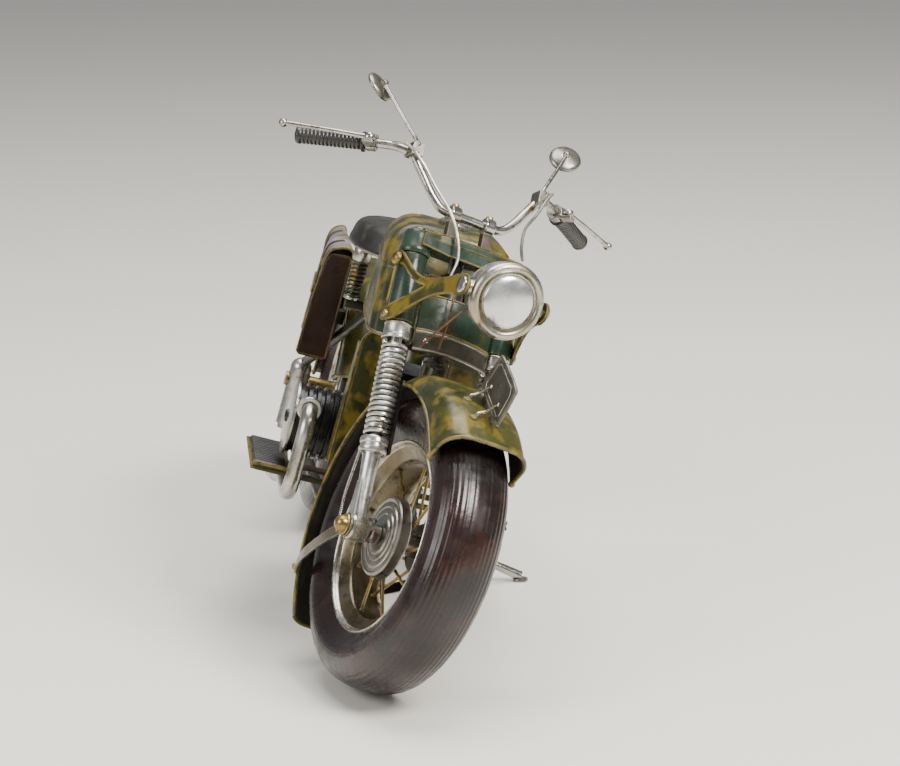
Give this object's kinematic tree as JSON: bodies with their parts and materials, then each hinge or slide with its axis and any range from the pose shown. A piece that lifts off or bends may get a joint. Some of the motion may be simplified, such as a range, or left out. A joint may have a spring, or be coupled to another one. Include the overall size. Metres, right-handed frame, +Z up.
{
  "type": "toy motorcycle",
  "caption": "Tin model touring motorcycle with boxer engine, deep fenders, saddlebags and clockwork rear drive, leaning on its side stand.",
  "frame": {"origin": "centre of the bounding box on the floor the tyres and side stand rest on", "axes": "+Z up; the machine's front points to -Y and its left side, where the stand is, to +X"},
  "size_m": [0.1449, 0.363, 0.2179],
  "materials": {
    "olive_tin": "satin",
    "bluegreen_tin": "satin",
    "brown_tin": "satin",
    "tan_tin": "satin",
    "black_gloss": "gloss",
    "dark_frame": "satin",
    "silver_paint": "satin",
    "bright_bar": "polished",
    "aged_steel": "satin",
    "old_brass": "satin",
    "rim_metal": "satin",
    "spring_steel": "satin",
    "tyre_rubber": "satin",
    "grip_rubber": "matte",
    "seat_leather": "satin",
    "red_lamp": "gloss"
  },
  "bodies": {
    "root": {"head_tube": "dark_frame", "backbone": "dark_frame", "down_tube": "dark_frame", "lower_rails": "dark_frame", "rear_stays": "dark_frame", "plungers": "silver_paint", "tank": "olive_tin", "tank_cap": "aged_steel", "leg_shields": "olive_tin", "crankcase": "black_gloss", "cylinders": "black_gloss", "valve_covers": "silver_paint", "exhausts": "rim_metal", "exhaust_rings": "silver_paint", "footboards": "olive_tin", "seat": "seat_leather", "seat_springs": "spring_steel", "saddlebag_right": "brown_tin", "saddlebag_left": "brown_tin", "bag_lids": "tan_tin", "rear_fender": "olive_tin", "tail_lamp": "red_lamp", "rear_axle": "old_brass", "movement_plates": "old_brass"},
    "steering": {"steering_stem": "bright_bar", "lower_yoke": "bluegreen_tin", "upper_yoke": "bluegreen_tin", "fork_covers": "bluegreen_tin", "stanchions": "silver_paint", "lamp_brackets": "olive_tin", "handlebar": "bright_bar", "bar_clamps": "bright_bar", "grips": "grip_rubber", "control_clamps": "aged_steel", "cables": "aged_steel"},
    "headlamp": {"headlamp_shell": "silver_paint", "headlamp_lens": "silver_paint"},
    "lower_fork": {"fork_sliders": "silver_paint", "fork_springs": "silver_paint", "front_fender": "olive_tin", "fender_stays": "rim_metal", "number_plate": "rim_metal", "front_axle": "old_brass"},
    "front_wheel": {"front_tyre": "tyre_rubber", "front_rim": "rim_metal", "front_spokes": "old_brass", "front_hub": "aged_steel"},
    "rear_wheel": {"rear_tyre": "tyre_rubber", "rear_rim": "rim_metal", "rear_spokes": "old_brass", "rear_hub": "aged_steel"},
    "winder": {"great_wheel": "old_brass", "mainspring": "spring_steel", "winding_key": "old_brass"},
    "idler": {"idler_gear": "old_brass"},
    "lever_right": {"lever_right": "bright_bar"},
    "lever_left": {"lever_left": "bright_bar"},
    "mirror_right": {"mirror_right": "aged_steel"},
    "mirror_left": {"mirror_left": "aged_steel"},
    "side_stand": {"side_stand": "bright_bar"}
  },
  "joints": [
    {"name": "steering_turn", "type": "hinge", "parent": "root", "child": "steering", "pos_m": [0.00291, -0.07587, 0.13299], "axis": [0.236, 0.4671, 0.8521], "range_deg": [-44.5, 11.5]},
    {"name": "fork_slide", "type": "slide", "parent": "steering", "child": "lower_fork", "axis": [0.236, 0.4671, 0.8521], "range_m": [0, 0.004], "stiffness_N_per_m": 6000, "springref_m": -0.003, "deforming": ["fork_springs"]},
    {"name": "front_wheel_spin", "type": "hinge", "parent": "lower_fork", "child": "front_wheel", "pos_m": [-0.01695, -0.12575, 0.05434], "axis": [0.8883, 0.2518, -0.384], "continuous": true},
    {"name": "headlamp_tilt", "type": "hinge", "parent": "steering", "child": "headlamp", "pos_m": [0.01941, -0.1179, 0.1436], "axis": [0.8883, 0.2518, -0.384], "range_deg": [-10, 10]},
    {"name": "lever_right_pull", "type": "hinge", "parent": "steering", "child": "lever_right", "pos_m": [-0.02511, -0.05793, 0.19546], "axis": [-0.236, -0.4671, -0.8521], "range_deg": [0, 8]},
    {"name": "lever_left_pull", "type": "hinge", "parent": "steering", "child": "lever_left", "pos_m": [0.0537, -0.03559, 0.16139], "axis": [0.236, 0.4671, 0.8521], "range_deg": [0, 8]},
    {"name": "mirror_right_swivel", "type": "hinge", "parent": "steering", "child": "mirror_right", "pos_m": [-0.00769, -0.061, 0.19114], "axis": [0.236, 0.4671, 0.8521], "range_deg": [-30, 30]},
    {"name": "mirror_left_swivel", "type": "hinge", "parent": "steering", "child": "mirror_left", "pos_m": [0.04206, -0.0469, 0.16964], "axis": [0.236, 0.4671, 0.8521], "range_deg": [-30, 30]},
    {"name": "rear_wheel_spin", "type": "hinge", "parent": "root", "child": "rear_wheel", "pos_m": [-0.01869, 0.12001, 0.05565], "axis": [0.9636, 0.0007, -0.2672], "continuous": true},
    {"name": "idler_spin", "type": "hinge", "parent": "root", "child": "idler", "pos_m": [0.00313, 0.10338, 0.05197], "axis": [0.9636, 0.0007, -0.2672], "continuous": true},
    {"name": "winder_spin", "type": "hinge", "parent": "root", "child": "winder", "pos_m": [0.00677, 0.08357, 0.0538], "axis": [0.9636, 0.0007, -0.2672], "continuous": true},
    {"name": "stand_fold", "type": "hinge", "parent": "root", "child": "side_stand", "pos_m": [-0.00581, 0.00609, 0.02581], "axis": [0.4131, -0.0025, 0.9107], "range_deg": [0, 75]}
  ],
  "couplings": [
    {"joint": "idler_spin", "follows": "rear_wheel_spin", "ratio": -0.5},
    {"joint": "winder_spin", "follows": "rear_wheel_spin", "ratio": 0.125}
  ]
}
